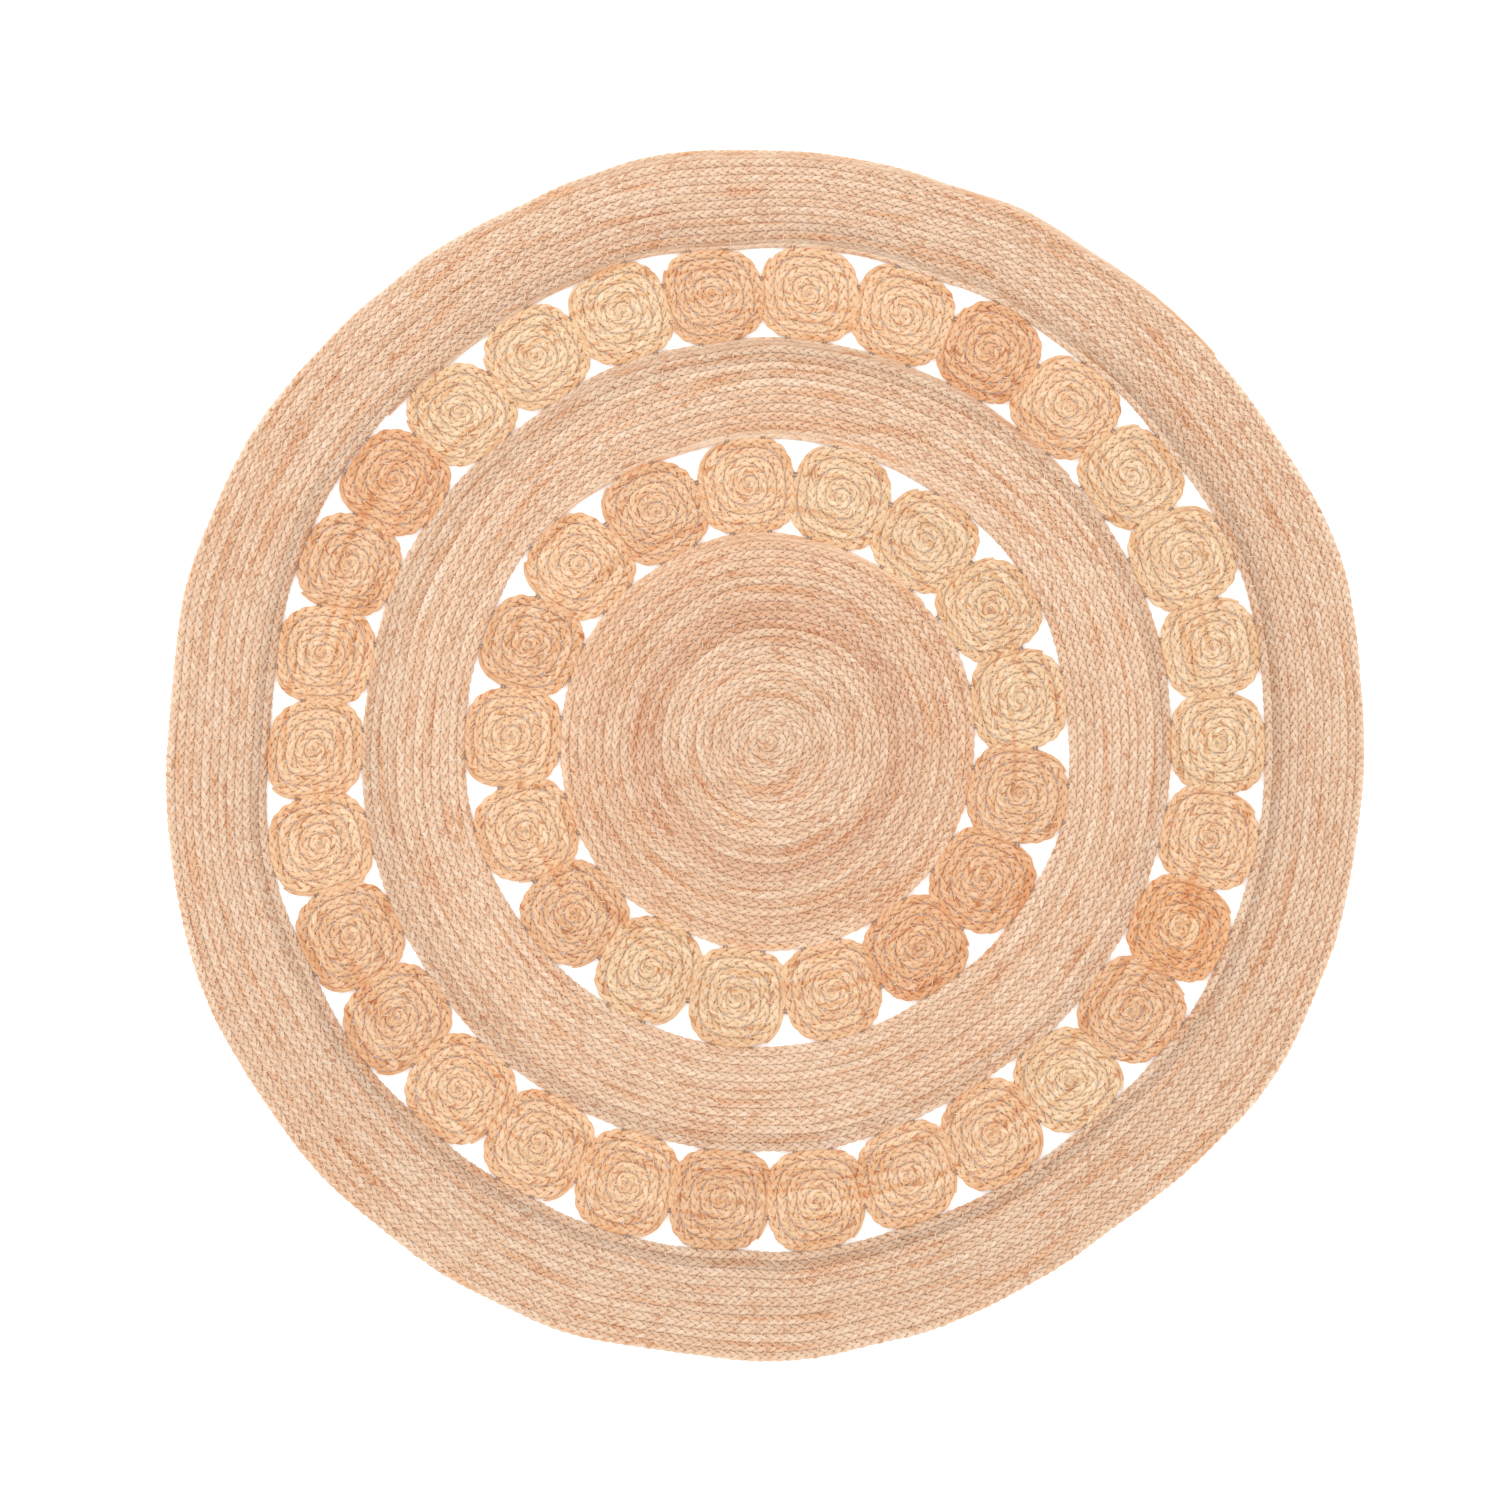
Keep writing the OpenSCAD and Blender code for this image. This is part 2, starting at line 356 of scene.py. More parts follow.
def thread_tree(name, closed):
    """A bit of thread on each point, its length across the point's bearing. An open one is a stitch that
    dips at both ends, and a closed one is an upright loop."""
    sheet, given, out = new_shape_tree(name, [
        ("Length", "float"), ("Drop", "float"), ("Thread", "float"), ("Sides", "int"), ("Points", "int"),
        ("Seed", "int"), ("Material", "material"),
    ])
    if closed:
        size = {"Resolution": given["Points"], "Radius": 1.0}
        start = sheet.add("GeometryNodeCurvePrimitiveCircle", size).outputs[0]
        index = sheet.add("GeometryNodeInputIndex").outputs[0]
        angle = sheet.math("MULTIPLY", sheet.math("DIVIDE", index, given["Points"]), FULL_TURN)
        across = sheet.math("COSINE", angle)
        level = sheet.math("SINE", angle)
    else:
        ends = {"Start": (-1.0, 0.0, 0.0), "End": (1.0, 0.0, 0.0)}
        line = sheet.add("GeometryNodeCurvePrimitiveLine", ends)
        more = sheet.add("GeometryNodeResampleCurve", {"Curve": line, "Count": given["Points"]})
        start = more.outputs[0]
        across = sheet.add("GeometryNodeSplineParameter").outputs["Factor"]
        across = sheet.math("SUBTRACT", sheet.math("MULTIPLY", across, 2.0), 1.0)
        level = sheet.math("MULTIPLY", sheet.math("MULTIPLY", across, across), -1.0)
    half = sheet.math("MULTIPLY", given["Length"], 0.5)
    place = sheet.add("ShaderNodeCombineXYZ", {
        "X": sheet.math("MULTIPLY", across, half), "Z": sheet.math("MULTIPLY", level, given["Drop"]),
    })
    bent = sheet.add("GeometryNodeSetPosition", {"Geometry": start, "Position": place})
    marked = sheet.store(bent, "reach", sheet.math("MULTIPLY", across, half))
    outline = {"Resolution": given["Sides"], "Radius": sheet.math("MULTIPLY", given["Thread"], 0.5)}
    round_edge = sheet.add("GeometryNodeCurvePrimitiveCircle", outline)
    swept = sheet.add(
        "GeometryNodeCurveToMesh", {"Curve": marked, "Profile Curve": round_edge, "Fill Caps": not closed}
    )
    smooth = sheet.add("GeometryNodeSetShadeSmooth", {"Geometry": swept})

    def random(low, high, shift):
        """A random value of its own for each point."""
        value = sheet.add("FunctionNodeRandomValue", data_type="FLOAT")
        low_socket, high_socket = [k for k in value.inputs if k.name in ("Min", "Max") and k.enabled]
        low_socket.default_value = low
        high_socket.default_value = high
        sheet.feed(value.inputs["Seed"], sheet.math("ADD", given["Seed"], shift))
        return [k for k in value.outputs if k.enabled][0]

    turn = sheet.math("ADD", sheet.named("bearing"), random(-0.35, 0.35, 1.0))
    size = random(0.85, 1.15, 2.0)
    spots = sheet.add("GeometryNodeInstanceOnPoints", {
        "Points": given["Geometry"], "Instance": smooth,
        "Rotation": sheet.add("ShaderNodeCombineXYZ", {"X": random(-0.12, 0.12, 3.0), "Z": turn}),
        "Scale": sheet.add("ShaderNodeCombineXYZ", {"X": size, "Y": 1.0, "Z": 1.0}),
    })
    real = sheet.add("GeometryNodeRealizeInstances", {"Geometry": spots})
    coloured = sheet.add("GeometryNodeSetMaterial", {"Geometry": real, "Material": given["Material"]})
    sheet.feed(out.inputs[0], coloured)
    return sheet.tree


def grown(name, path, tree, values):
    """The plain mesh that a tree makes along a path, as an object at the origin."""
    seed = bpy.data.objects.new(name, path)
    bpy.context.scene.collection.objects.link(seed)
    shape = seed.modifiers.new("shape", "NODES")
    shape.node_group = tree
    for item in tree.interface.items_tree:
        if item.in_out == "INPUT" and item.name in values:
            shape[item.identifier] = values[item.name]
    graph = bpy.context.evaluated_depsgraph_get()
    mesh = bpy.data.meshes.new_from_object(
        seed.evaluated_get(graph), preserve_all_data_layers=True, depsgraph=graph
    )
    seed.modifiers.remove(shape)
    seed.data = mesh
    bpy.data.meshes.remove(path)
    if not mesh.polygons:
        raise RuntimeError(f"{name} came out empty")
    return seed


# ---------------------------------------------------------------- paths


def smooth_noise(rng, count, spacing):
    """Evenly smooth random values, about -1 to 1, for count places."""
    knots = rng.uniform(-1, 1, max(4, int(count / spacing) + 4))
    at = np.linspace(0, len(knots) - 1, count)
    low = np.clip(at.astype(int), 0, len(knots) - 2)
    part = at - low
    part = part * part * (3 - 2 * part)
    return knots[low] * (1 - part) + knots[low + 1] * part


def carried(lap):
    """Pitches that a coil has been carried outward by, after some laps. It moves out over the first
    half of each lap, and keeps its radius over the second half."""
    whole = np.floor(lap)
    part = lap - whole
    return whole + np.where(part < 0.5, (1 - np.cos(FULL_TURN * part)) / 2, 1.0)


SAMPLES_PER_LAP = 400


def coil_path(in_r, out_r, turns, step, across=0.5, thinnest=0.12):
    """A line along a strip wound clockwise and outward from in_r to out_r, at an even step. across is
    the line's place in the strip, 0 at its inner edge and 1 at its outer edge. Returns the points, the
    part of full width at each, the length so far and the laps so far."""
    pitch = (out_r - in_r) / turns
    laps = np.linspace(0, turns + RUN_OUT, int(SAMPLES_PER_LAP * (turns + RUN_OUT)))
    inner = in_r + pitch * np.where(laps < 1, 0, carried(laps - 1))
    outer = np.minimum(in_r + pitch * carried(laps), out_r)
    ease = (outer - inner) / pitch
    keep = ease > thinnest
    laps, ease, radius = laps[keep], ease[keep], (inner + (outer - inner) * across)[keep]
    angle = math.pi - FULL_TURN * laps
    line = np.stack([radius * np.cos(angle), radius * np.sin(angle)], 1)
    reach = np.concatenate([[0], np.cumsum(np.hypot(*np.diff(line, axis=0).T))])
    count = max(8, int(round(reach[-1] / step)))
    even = np.linspace(0, reach[-1], count)
    points = np.stack([np.interp(even, reach, line[:, k]) for k in (0, 1)], 1)
    return points, np.interp(even, reach, ease), even, np.interp(even, reach, laps)


def chain(name, points, attributes):
    """A mesh of edges through some points, with a value for each point under each name."""
    mesh = bpy.data.meshes.new(name + "_path")
    edges = [(k, k + 1) for k in range(len(points) - 1)]
    mesh.from_pydata(points.tolist(), edges, [])
    for key, values in attributes.items():
        layer = mesh.attributes.new(key, "FLOAT", "POINT")
        layer.data.foreach_set("value", np.asarray(values, np.float32))
    return mesh


def made_ripples():
    """Ten easy waves over the plan. Each row is its wave vector, its phase and its push in x and in y."""
    rng = np.random.default_rng(3)
    rows = []
    for length in np.linspace(80, 260, 10) * MM:
        heading, push = rng.uniform(0, FULL_TURN, 2)
        wave = FULL_TURN / length
        size = 0.004 * length
        rows.append((
            wave * math.cos(heading), wave * math.sin(heading), rng.uniform(0, FULL_TURN),
            size * math.cos(push), size * math.sin(push),
        ))
    return rows


RIPPLES = made_ripples()
SWELLS = ((6, -2.4, 0.0), (8, 2.0, 2.2), (3, 3.6, 0.0), (2, 4.3, 1.7))  # waves round the rim, mm, phase
FIRM = 0.75  # part of a plait's half thickness that the floor and feet don't flatten


def warped(flat):
    """Where hand work leaves points of the plan: the middle a little off centre, the rim not quite
    round, and slight ripples everywhere."""
    x, y = flat[:, 0].copy(), flat[:, 1].copy()
    out = np.hypot(x, y) / OUTER_OUT_R
    angle = np.arctan2(y, x)
    swell = sum(high * np.cos(waves * angle - phase) for waves, high, phase in SWELLS) * MM * out * out
    x += swell * np.cos(angle) + MM * (1 - 6 * out ** 2)
    y += swell * np.sin(angle) + MM * (11.5 - 13 * out ** 3)
    for wave_x, wave_y, phase, push_x, push_y in RIPPLES:
        level = np.sin(wave_x * flat[:, 0] + wave_y * flat[:, 1] + phase)
        x += push_x * level
        y += push_y * level
    return np.stack([x, y], 1)


def laid_by_hand(piece, height=None):
    """Moves a finished mesh in plan by the same easy irregularity as all the others. With a height, it
    is also pressed flatter near the floor and near that height, so that it goes past neither."""
    mesh = piece.data
    points = np.zeros(len(mesh.vertices) * 3, np.float32)
    mesh.vertices.foreach_get("co", points)
    points = points.reshape(-1, 3)
    points[:, :2] = warped(points[:, :2])
    if height:
        level = points[:, 2] / (height / 2) - 1
        past = np.maximum(np.abs(level) - FIRM, 0) / (1 - FIRM)
        pressed = np.minimum(np.abs(level), FIRM) + (1 - FIRM) * np.tanh(past)
        points[:, 2] = (np.sign(level) * pressed + 1) * height / 2
    mesh.vertices.foreach_set("co", points.ravel())
    mesh.update()
    return piece


WANDER = 0.35  # periods by which the plaiting runs ahead or behind
WANDER_STEPS = 60  # points of the path from one such change to the next
LIFT = 0.42  # of the free height, up and down from the middle
UNEVENNESS = 0.18  # of a strand's sway, lift and size
SQUARENESS = 3.0  # of a pressed coil; 2 would keep it round


def placed(points, radius=1.0, middle=(0.0, 0.0), turn=0.0, press=None):
    """Points of a coil of some radius, turned and moved to its middle, and how much wider the coil's
    turns are at each. press is how far the rim goes, in radii, toward the bands and toward its
    neighbours: four contacts press a round coil squarer."""
    cos, sin = math.cos(turn), math.sin(turn)
    points = points @ np.array([[cos, sin], [-sin, cos]])
    wider = np.ones(len(points))
    if press:
        bearing = math.atan2(middle[1], middle[0])
        angle = np.arctan2(points[:, 1], points[:, 0]) - bearing
        rim = np.abs(np.cos(angle) / press[0]) ** SQUARENESS
        rim += np.abs(np.sin(angle) / press[1]) ** SQUARENESS
        spread = rim ** (-1 / SQUARENESS) - 1
        part = np.hypot(*points.T) / radius
        points = points * (1 + part * spread)[:, None]
        wider = 1 + 2 * part * spread
    return points + middle, wider


def coiled_plait(name, coil, material, rng, strands=(0, STRANDS), row=(0, 1), tuck=0.6, **where):
    """Strands of one plait of a coil, as one object. coil is its inner and outer radius, its turns and
    its thickness; strands is the first strand and how many; row is which plait of how many side by
    side; tuck is how far a strand's turns stay inside the plait's edges, in thicknesses. Calls with
    equal rngs make strands that fit each other."""
    plait = bpy.context.scene.rug_plait
    in_r, out_r, turns, height = coil
    points, ease, reach, laps = coil_path(in_r, out_r, turns, plait.step, (row[0] + 0.5) / row[1])
    width = (out_r - in_r) / turns / row[1]
    scale = width / PLAIT_W
    thickness = plait.strand_thickness * scale
    flat, wider = placed(points, out_r, **where)
    path = chain(name, np.column_stack([flat, np.zeros(len(flat))]), {
        "beat": reach / (plait.period * scale) + WANDER * smooth_noise(rng, len(reach), WANDER_STEPS),
        "ease": ease * wider,
        "reach": reach + rng.uniform(0, 20),
        "lap": laps / (turns + RUN_OUT),
    })
    tree = bpy.data.node_groups.get("jute_plait") or plait_tree()
    piece = grown(name, path, tree, {
        "Strands": strands[1], "First strand": strands[0], "Sides": plait.sides,
        "Strand width": plait.strand_width * scale, "Strand thickness": thickness,
        "Sway": (width - thickness * tuck) / 2,
        "Lift": LIFT * (height - thickness), "Height": height / 2,
        "Unevenness": UNEVENNESS, "Seed": float(rng.uniform(0, 50)), "Material": material,
    })
    return laid_by_hand(piece, height)


# ---------------------------------------------------------------- materials


WINDING = 60.0  # radians that fibres wind round their strand, for each metre of it


def fibre_material(name, colour, yarns, shades=(), fleck=0.5, rows=0.65):
    """Jute: fibres lie along each strand and wind slowly round it. shades holds places along the coil,
    0 to 1, each with a colour that the jute is multiplied by there. fleck is the strength of the dark
    flecks, and rows that of the paler and browner rows."""
    material = bpy.data.materials.new(name)
    material.use_nodes = True
    material.node_tree.nodes.clear()
    sheet = Sheet(material.node_tree)

    def attribute(title):
        return sheet.add("ShaderNodeAttribute", attribute_name=title).outputs["Fac"]

    reach = attribute("reach")
    strand = attribute("strand")
    across = attribute("across")
    up = attribute("up")
    rind = sheet.add("ShaderNodeCombineXYZ", {"Y": across, "Z": up})
    wound = sheet.add("ShaderNodeVectorRotate", {
        "Vector": rind, "Angle": sheet.math("MULTIPLY", reach, WINDING),
    }, rotation_type="X_AXIS")

    def noise(length, round_scale, detail, shift):
        """Noise drawn out along the strand, each of its features about as long as given."""
        along = sheet.math("DIVIDE", reach, length)
        along = sheet.math("ADD", along, sheet.math("MULTIPLY", strand, 31.7))
        along = sheet.add("ShaderNodeCombineXYZ", {"X": sheet.math("ADD", along, shift)})
        at = sheet.vector("ADD", along, sheet.scaled(wound.outputs[0], round_scale))
        texture = sheet.add("ShaderNodeTexNoise", {"Vector": at, "Scale": 1.0, "Detail": detail})
        return texture.outputs["Fac"]

    def spread(value, low, high, to_low, to_high):
        ranged = sheet.add("ShaderNodeMapRange", {
            "Value": value, "From Min": low, "From Max": high, "To Min": to_low, "To Max": to_high,
        }, clamp=True)
        return ranged.outputs[0]

    def blend(kind, factor, a, b):
        mix = sheet.add("ShaderNodeMix", data_type="RGBA", blend_type=kind)
        sheet.feed(mix.inputs["Factor"], factor)
        sheet.feed(mix.inputs[6], a)
        sheet.feed(mix.inputs[7], (*b, 1.0) if isinstance(b, tuple) else b)
        return mix.outputs[2]

    # Rows of paler and browner jute, which run round the rug for a while
    place = sheet.add("ShaderNodeTexCoord").outputs["Object"]
    part = sheet.add("ShaderNodeSeparateXYZ", {"Vector": place})
    radius = sheet.add("ShaderNodeVectorMath", {0: place}, operation="LENGTH").outputs["Value"]
    bearing = sheet.math("MULTIPLY", sheet.math("ARCTAN2", part.outputs["Y"], part.outputs["X"]), 0.5)
    spot = sheet.add("ShaderNodeCombineXYZ", {
        "X": sheet.math("DIVIDE", radius, 9 * MM),
        "Y": sheet.math("MULTIPLY", sheet.math("COSINE", bearing), 2.0),
        "Z": sheet.math("MULTIPLY", sheet.math("SINE", bearing), 2.0),
    })
    row = sheet.add("ShaderNodeTexNoise", {"Vector": spot, "Scale": 1.0, "Detail": 1.0}).outputs["Fac"]

    streak_spot = sheet.add("ShaderNodeCombineXYZ", {
        "X": sheet.math("DIVIDE", radius, 7 * MM),
        "Y": sheet.math("MULTIPLY", part.outputs["X"], 11.0),
        "Z": sheet.math("MULTIPLY", part.outputs["Y"], 11.0),
    })
    streak = sheet.add("ShaderNodeTexNoise", {"Vector": streak_spot, "Scale": 1.0, "Detail": 2.0})
    streak = streak.outputs["Fac"]

    fibre = noise(16 * MM, 7.0, 3.0, 0.0)
    yarn = noise(45 * MM, 1.6, 1.0, 40.0)
    length = noise(110 * MM, 0.0, 2.0, 80.0)
    dirt = noise(7 * MM, 3.0, 2.0, 120.0)
    knot = noise(13 * MM, 0.6, 0.0, 200.0)
    # Painted shade: the jute is darkened in the valleys between the yarns round each strand
    turned = sheet.math("MULTIPLY", sheet.math("ARCTAN2", up, across), float(yarns))
    between = spread(sheet.math("COSINE", turned), -1.0, -0.35, 1.0, 0.0)
    # Painted shade: darker where a strand turns at the plait's edge and dips into the groove beside it
    edge_shade = spread(sheet.math("ABSOLUTE", attribute("side")), 0.72, 1.0, 0.0, 1.0)
    base = (*colour, 1.0)
    if shades:
        strayed = sheet.math("MULTIPLY", sheet.math("SUBTRACT", streak, 0.5), 0.16)
        ramp = sheet.add("ShaderNodeValToRGB", {"Fac": sheet.math("ADD", attribute("lap"), strayed)})
        stops = ramp.color_ramp.elements
        while len(stops) < len(shades):
            stops.new(0.5)
        for stop, (at, shade) in zip(stops, shades):
            stop.position = at
            stop.color = (*shade, 1.0)
        base = blend("MULTIPLY", 1.0, base, ramp.outputs[0])
    shown = blend("MULTIPLY", spread(row, 0.38, 0.62, 0.0, rows), base, (0.90, 0.82, 0.76))
    crossing = sheet.math("ADD", attribute("beat"), sheet.math("DIVIDE", strand, float(STRANDS)))
    crossing = sheet.math("FLOOR", sheet.math("MULTIPLY", crossing, 2.0))
    crossing = sheet.math("ADD", crossing, sheet.math("MULTIPLY", strand, 57.0))
    grain = sheet.add("ShaderNodeTexWhiteNoise", {"W": crossing}, noise_dimensions="1D").outputs["Value"]
    shown = blend("MULTIPLY", spread(grain, 0.35, 1.0, 0.0, 1.0), shown, (0.94, 0.87, 0.82))
    shown = blend("SCREEN", spread(grain, 0.0, 0.3, 0.35, 0.0), shown, (0.24, 0.24, 0.22))
    shown = blend("MULTIPLY", spread(streak, 0.54, 0.66, 0.0, rows * 1.3), shown, (0.94, 0.77, 0.63))
    shown = blend("SCREEN", spread(streak, 0.30, 0.42, 0.3 * rows, 0.0), shown, (0.30, 0.30, 0.28))
    shown = blend("MULTIPLY", spread(yarn, 0.35, 0.65, 0.0, 1.0), shown, (0.93, 0.89, 0.85))
    shown = blend("MULTIPLY", spread(length, 0.3, 0.7, 0.0, 1.0), shown, (0.95, 0.91, 0.87))
    shown = blend("MULTIPLY", spread(fibre, 0.42, 0.66, 0.0, 1.0), shown, (0.91, 0.80, 0.71))
    shown = blend("SCREEN", spread(fibre, 0.28, 0.44, 0.35, 0.0), shown, (0.36, 0.32, 0.26))
    # Painted shade in the valleys between the yarns
    shown = blend("MULTIPLY", sheet.math("MULTIPLY", between, 0.6), shown, (0.92, 0.80, 0.70))
    # Painted shade at the plait's edges, where the strands dip into the grooves
    shown = blend("MULTIPLY", sheet.math("MULTIPLY", edge_shade, 0.4), shown, (0.94, 0.84, 0.77))
    shown = blend("MULTIPLY", spread(dirt, 0.62, 0.70, 0.0, fleck * 1.4), shown, (0.50, 0.36, 0.28))
    shown = blend("MULTIPLY", spread(knot, 0.72, 0.75, 0.0, fleck * 1.4), shown, (0.72, 0.47, 0.34))
    bump = sheet.add("ShaderNodeBump", {"Strength": 0.5, "Distance": 0.4 * MM, "Height": fibre})
    shader = sheet.add("ShaderNodeBsdfPrincipled", {
        "Base Color": shown, "Roughness": spread(fibre, 0.3, 0.7, 0.97, 0.82), "Normal": bump,
        "Specular IOR Level": 0.25, "Sheen Weight": 0.12, "Sheen Roughness": 0.5,
    })
    sheet.add("ShaderNodeOutputMaterial", {"Surface": shader})
    return material


def plain_material(name, colour, glow=0.0):
    """A matt finish that gives some light of its own, for the stage."""
    material = bpy.data.materials.new(name)
    material.use_nodes = True
    material.node_tree.nodes.clear()
    sheet = Sheet(material.node_tree)
    shader = sheet.add("ShaderNodeBsdfPrincipled", {
        "Base Color": (*colour, 1.0), "Roughness": 0.9, "Specular IOR Level": 0.0,
        "Emission Color": (1.0, 1.0, 1.0, 1.0), "Emission Strength": glow,
    })
    sheet.add("ShaderNodeOutputMaterial", {"Surface": shader})
    return material


# ---------------------------------------------------------------- operators


def keep(piece, slot, *nodes):
    """Fixes a piece to the rug and hides the CAD nodes that it stands for."""
    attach(piece, BODY)
    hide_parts(*nodes)


# Places along a coil, 0 to 1, and the colours that its jute is multiplied by there
DISC_SHADES = (
    (0.00, (0.96, 0.95, 0.94)), (0.50, (0.98, 0.97, 0.96)), (0.56, (0.90, 0.80, 0.75)),
    (0.66, (0.91, 0.81, 0.76)), (0.70, (0.97, 0.96, 0.95)), (0.76, (0.97, 0.93, 0.89)),
    (0.86, (0.97, 0.92, 0.88)), (1.00, (1.00, 0.96, 0.92)),
)
MIDDLE_SHADES = (
    (0.00, (1.0, 1.0, 1.0)), (0.72, (1.0, 1.0, 1.0)),
    (0.80, (0.91, 0.90, 0.90)), (1.00, (0.92, 0.91, 0.91)),
)
OUTER_SHADES = (
    (0.00, (0.95, 0.95, 0.95)), (0.06, (0.95, 0.95, 0.95)), (0.16, (0.88, 0.86, 0.85)),
    (0.26, (0.96, 0.96, 0.97)), (1.00, (1.0, 1.0, 1.0)),
)
GROOVE_SHADES = (  # of the outer band's outer plait, which starts greyer
    (0.00, (0.93, 0.92, 0.91)), (0.03, (0.78, 0.75, 0.74)), (0.15, (0.80, 0.77, 0.76)),
    (0.20, (0.95, 0.94, 0.94)), (1.00, (1.0, 1.0, 1.0)),
)
# A strip has a browner plait on its inner side and a paler one on its outer side
PLAIT_TONES = ((0.985, 0.96, 0.945), (1.01, 1.015, 1.02))


def coiled_strip(node, coil, slot, shades, seed):
    """The plaits of a coiled strip, one piece for each strand. shades has a row for each plait."""
    scene = bpy.context.scene
    for row, tone in enumerate(PLAIT_TONES):
        colour = [c * t for c, t in zip(scene.rug_jute.strip, tone)]
        material = fibre_material(f"jute_{node}_{row + 1}", colour, scene.rug_plait.yarns, shades[row])
        for strand in range(STRANDS):
            piece = coiled_plait(
                f"{node}_plait_{row + 1}_strand_{strand + 1}", coil, material,
                np.random.default_rng(seed + row), (strand, 1), (row, STRIP_PLAITS),
            )
            keep(piece, slot, node)


class RUG_OT_centre_disc(bpy.types.Operator):
    """Coil the two plaits of the centre disc"""

    bl_idname = "rug.centre_disc"
    bl_label = "Centre disc"

    def execute(self, context):
        coil = (CORE_R, DISC_R, context.scene.rug_plait.disc_turns, PLAIT_H)
        coiled_strip("centre_disc", coil, "jute_centre", (DISC_SHADES, DISC_SHADES), 11)
        return {"FINISHED"}


class RUG_OT_bands(bpy.types.Operator):
    """Coil the two plaits of each band"""

    bl_idname = "rug.bands"
    bl_label = "Bands"

    def execute(self, context):
        turns = context.scene.rug_plait.band_turns
        middle = (MIDDLE_IN_R, MIDDLE_OUT_R, turns, PLAIT_H)
        outer = (OUTER_IN_R, OUTER_OUT_R, turns, PLAIT_H)
        coiled_strip("middle_band", middle, "jute_band", (MIDDLE_SHADES, MIDDLE_SHADES), 23)
        coiled_strip("outer_band", outer, "jute_band", (OUTER_SHADES, GROOVE_SHADES), 37)
        return {"FINISHED"}


WORN = (
    (0.00, (1.0, 1.0, 1.0)), (0.72, (1.0, 1.0, 1.0)),
    (0.84, (0.97, 0.90, 0.84)), (1.00, (0.97, 0.90, 0.84)),
)
PALE_CORE = (
    (0.00, (1.07, 1.28, 1.45)), (0.26, (1.07, 1.28, 1.45)),
    (0.40, (1.0, 1.0, 1.0)), (1.00, (0.98, 0.95, 0.92)),
)
# Tones of jute in the medallions, as multipliers, and the places in each ring that have them
TONES = {
    "plain": (1.0, 0.94, 0.91), "pale": (1.0, 1.01, 1.01), "deep": (0.95, 0.85, 0.80),
    "brown": (0.94, 0.78, 0.69),
}
PALE = {"inner": (0, 1, 2, 3, 11, 12), "outer": (0, 1, 2, 3, 9, 10, 11, 26)}
DEEP = {"inner": (5, 7, 10, 16), "outer": (8, 13, 17, 18, 22, 27)}
AMBER = ("outer", 28)
FLECK = 0.6  # strength of the dark flecks in the medallions
PRESS = (1.03, 1.03)  # how far a medallion's rim goes toward the bands and toward its neighbours
OVER_SEAM = 0.6  # part of a seam that a medallion fills


def medallion_coil(radius):
    """A medallion reaches out to what it is tied to."""
    return (CORE_R, radius + SEAM * OVER_SEAM, bpy.context.scene.rug_plait.medallion_turns, MEDALLION_H)


def medallion_places():
    """Node name, ring, place in the ring, middle, radius and turn of every medallion."""
    rng = np.random.default_rng(5)
    for ring, nodes in (("inner", INNER_NODES), ("outer", OUTER_NODES)):
        for place, node in enumerate(nodes):
            middle, radius, _ = middle_and_radius(node)
            turn = math.atan2(middle[1], middle[0]) + rng.uniform(-0.35, 0.35)
            yield node, ring, place, middle, radius, turn


class RUG_OT_medallions(bpy.types.Operator):
    """Coil the medallions of both rings"""

    bl_idname = "rug.medallions"
    bl_label = "Medallions"

    def execute(self, context):
        slots = {row["node"]: row["material_slot"] for row in frame["record"]["subparts"]}
        jute = context.scene.rug_jute
        yarns = context.scene.rug_plait.yarns
        jutes = {"amber": fibre_material("jute_amber", jute.amber, yarns, PALE_CORE, FLECK)}
        for tone, shade in TONES.items():
            colour = [c * m for c, m in zip(jute.medallion, shade)]
            jutes[tone] = fibre_material(f"jute_{tone}", colour, yarns, WORN, FLECK)
        rng = np.random.default_rng(6)
        for node, ring, place, middle, radius, turn in medallion_places():
            tone = "pale" if place in PALE[ring] else "deep" if place in DEEP[ring] else "plain"
            if slots[node] == "jute_amber":
                tone = "amber" if (ring, place) == AMBER else "brown"
            piece = coiled_plait(
                node + "_coil", medallion_coil(radius), jutes[tone], rng,
                tuck=0.75, middle=middle, turn=turn, press=PRESS,
            )
            keep(piece, slots[node], node)
        return {"FINISHED"}


STITCH_SUNK = 0.7 * MM  # from the top of the plaits to the middle of a stitch
STITCH_DIP = 1.0 * MM  # of its ends, under its middle
STITCH_SLANT = 0.5  # radians, one way and the other by turns


def groove_spots(coil, across, spacing, **where):
    """Places of stitches along a groove of a coil, with the bearing of the coil at each. across is 0 for
    the groove between two turns, and 0.5 for the one in the middle of a strip."""
    in_r, out_r, turns, _ = coil
    points, _, _, laps = coil_path(in_r, out_r, turns, spacing, across)
    first, last = (1.1, turns + 0.1) if across == 0 else (0.4, turns)
    sewn = (laps > first) & (laps < last)
    flat, _ = placed(points, out_r, **where)
    ahead = np.gradient(flat, axis=0)
    return flat[sewn], np.arctan2(ahead[:, 1], ahead[:, 0])[sewn]


def threads(name, tree_name, closed, spots, bearings, height, values):
    """Stitches or loops of thread at some places, as one object."""
    tree = bpy.data.node_groups.get(tree_name) or thread_tree(tree_name, closed)
    mesh = bpy.data.meshes.new(name + "_places")
    mesh.from_pydata([(x, y, height) for x, y in spots], [], [])
    layer = mesh.attributes.new("bearing", "FLOAT", "POINT")
    layer.data.foreach_set("value", np.asarray(bearings, np.float32))
    return laid_by_hand(grown(name, mesh, tree, values))


